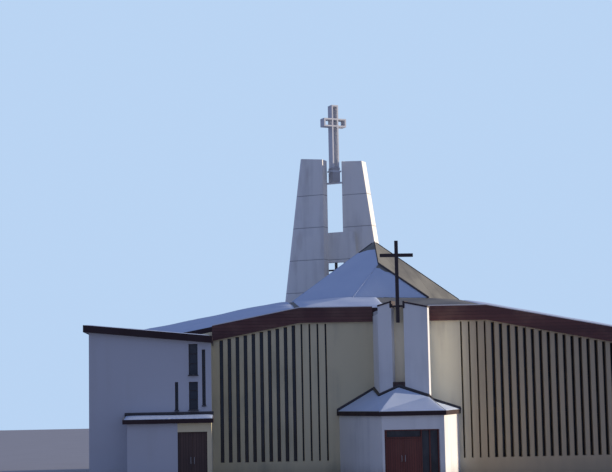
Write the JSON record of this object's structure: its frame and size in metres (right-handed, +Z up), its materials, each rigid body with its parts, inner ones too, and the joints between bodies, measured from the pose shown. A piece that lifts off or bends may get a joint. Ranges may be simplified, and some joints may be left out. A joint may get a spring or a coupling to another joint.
{
  "type": "modern church building",
  "caption": "Hall church with a tent roof, pointed prow and porch, flat annex, and a pair of tapered tower fins that carry an open cross.",
  "frame": {"origin": "on the ground, on the underside of the hall's floor, below the roof's peak", "axes": "+Z up, +X to the right of the front, -Y out through the prow"},
  "size_m": [29.8797, 23.9, 21.84],
  "materials": {
    "white_render": "painted smooth render",
    "cream_render": "painted cream render",
    "olive_render": "painted olive render",
    "fin_concrete": "pale board-marked concrete",
    "roof_felt": "mineral felt, part snowed over",
    "fascia_board": "stained boards",
    "door_paint": "red-brown stain",
    "dark_wood": "dark brown stain",
    "window_glass": "clear",
    "dark_steel": "matt black paint",
    "white_metal": "white paint",
    "floor_concrete": "trowelled"
  },
  "bodies": {
    "building": {"prow_wall_left": "white_render", "prow_wall_right": "white_render", "porch_wall_left": "white_render", "porch_wall_right": "white_render", "porch_beam": "white_render", "annex_front_wall": "white_render", "annex_left_wall": "white_render", "side_porch_wall_left": "white_render", "right_front_wall": "cream_render", "niche_wall": "cream_render", "left_front_wall": "olive_render", "rear_wall": "olive_render", "left_end_wall": "olive_render", "right_end_wall": "olive_render", "annex_right_wall": "olive_render", "side_porch_wall_right": "olive_render", "side_porch_lintel": "olive_render", "tower_fin_left": "fin_concrete", "tower_fin_right": "fin_concrete", "tower_tie_wall": "fin_concrete", "right_wing_roof": "roof_felt", "left_wing_roof": "roof_felt", "tent_front_left": "roof_felt", "tent_front_right": "roof_felt", "tent_rear": "roof_felt", "prow_hood": "roof_felt", "skirt_front": "roof_felt", "skirt_rear": "roof_felt", "prow_roof": "roof_felt", "porch_roof": "roof_felt", "annex_roof": "roof_felt", "side_porch_roof": "roof_felt", "front_fascia_left": "fascia_board", "front_fascia_right": "fascia_board", "rear_fascia": "fascia_board", "left_end_fascia": "fascia_board", "right_end_fascia": "fascia_board", "door_frame": "door_paint", "niche_cap": "dark_wood", "front_glass_left": "window_glass", "front_glass_right": "window_glass", "rear_glass": "window_glass", "left_end_glass": "window_glass", "right_end_glass": "window_glass", "door_glass": "window_glass", "annex_glass": "window_glass", "front_cross": "dark_steel", "tower_rail": "dark_steel", "tower_cross": "white_metal", "cross_bearer": "white_metal", "hall_floor": "floor_concrete", "porch_floor": "floor_concrete", "annex_floor": "floor_concrete", "side_porch_floor": "floor_concrete"},
    "main_door_left": {"main_door_left": "door_paint"},
    "main_door_right": {"main_door_right": "door_paint"},
    "side_door_left": {"side_door_left": "dark_wood"},
    "side_door_right": {"side_door_right": "dark_wood"}
  },
  "joints": [
    {"name": "main_door_left_hinge", "type": "hinge", "parent": "building", "child": "main_door_left", "pos_m": [-1.068, -14.45, 1.2], "axis": [0, 0, -1], "range_deg": [0, 90]},
    {"name": "main_door_right_hinge", "type": "hinge", "parent": "building", "child": "main_door_right", "pos_m": [0.538, -14.45, 1.2], "axis": [0, 0, 1], "range_deg": [0, 90]},
    {"name": "side_door_left_hinge", "type": "hinge", "parent": "building", "child": "side_door_left", "pos_m": [-10.588, -14.2, 1.2], "axis": [0, 0, -1], "range_deg": [0, 90]},
    {"name": "side_door_right_hinge", "type": "hinge", "parent": "building", "child": "side_door_right", "pos_m": [-9.262, -14.2, 1.2], "axis": [0, 0, 1], "range_deg": [0, 90]}
  ]
}
